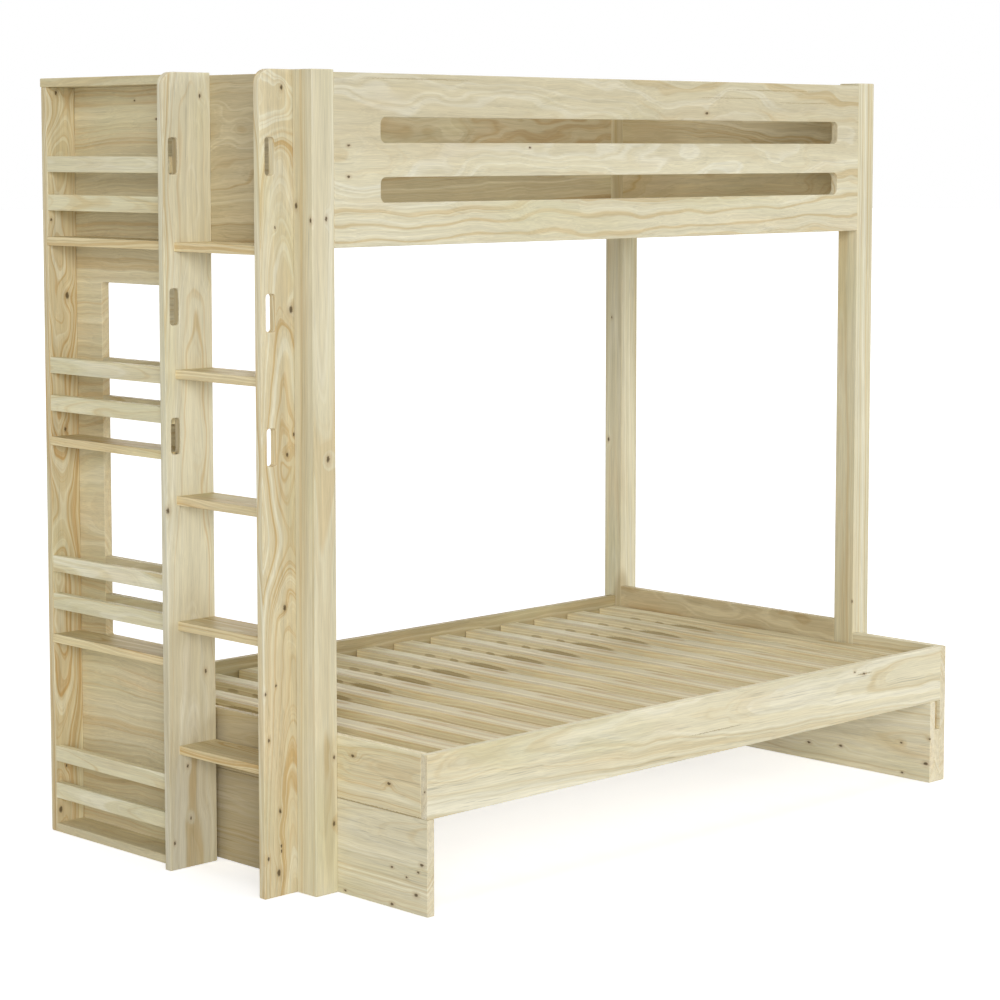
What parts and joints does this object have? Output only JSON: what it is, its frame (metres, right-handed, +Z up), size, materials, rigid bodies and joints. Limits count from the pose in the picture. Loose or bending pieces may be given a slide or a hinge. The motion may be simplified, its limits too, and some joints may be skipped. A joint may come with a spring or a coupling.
{
  "type": "triple bunk bed",
  "caption": "Bare pine bunk bed: a guarded upper bunk over a wider lower bed, with an upright fixed ladder with hand slots and a tall open bookcase built into one end.",
  "frame": {"origin": "middle of the footprint, on the floor", "axes": "+X along the bed from the ladder and bookcase end to the foot end, +Y from the open front to the wall side, +Z up"},
  "size_m": [2.178, 1.278, 1.927],
  "materials": {
    "pine_solid": "bare, sanded",
    "pine_panel": "bare, sanded",
    "pine_batten": "bare, planed",
    "beech_dowel": "bare, turned"
  },
  "bodies": {
    "root": {"back_panel_upper": "pine_panel", "beam_cleat": "pine_batten", "bookcase_back": "pine_panel", "bookcase_bottom": "pine_panel", "bookcase_shelf_1": "pine_panel", "bookcase_shelf_2": "pine_panel", "bookcase_shelf_3": "pine_panel", "bookcase_side": "pine_panel", "bookcase_stop_1": "pine_solid", "bookcase_stop_2": "pine_solid", "bookcase_stop_3": "pine_solid", "bookcase_stop_4": "pine_solid", "bookcase_stop_5": "pine_solid", "bookcase_stop_6": "pine_solid", "bookcase_stop_7": "pine_solid", "bookcase_stop_8": "pine_solid", "bookcase_top": "pine_panel", "dowels_lower": "beech_dowel", "dowels_upper": "beech_dowel", "foot_batten_lower": "pine_solid", "foot_batten_upper": "pine_solid", "foot_board": "pine_panel", "foot_leg_inner": "pine_panel", "foot_leg_outer": "pine_panel", "foot_panel_upper": "pine_panel", "foot_spacer_front": "pine_panel", "foot_spacer_rear": "pine_panel", "guard_panel_front": "pine_panel", "head_panel_upper": "pine_panel", "ladder_stile_front": "pine_solid", "ladder_stile_rear": "pine_solid", "ladder_tread_1": "pine_solid", "ladder_tread_2": "pine_solid", "ladder_tread_3": "pine_solid", "ladder_tread_4": "pine_solid", "ladder_tread_5": "pine_solid", "loose_tongues": "beech_dowel", "lower_back_rail": "pine_panel", "lower_centre_beam": "pine_batten", "lower_front_rail": "pine_panel", "lower_head_board": "pine_panel", "lower_head_leg": "pine_panel", "lower_ledger_back": "pine_batten", "lower_ledger_front": "pine_batten", "lower_slats": "pine_batten", "post_front_left": "pine_solid", "post_front_right": "pine_solid", "post_rear_left": "pine_solid", "post_rear_right": "pine_solid", "upper_ledger_back": "pine_batten", "upper_ledger_front": "pine_batten", "upper_slats": "pine_batten", "window_bar_1": "pine_solid", "window_bar_2": "pine_solid", "window_bar_3": "pine_solid", "window_bar_4": "pine_solid"}
  },
  "joints": []
}
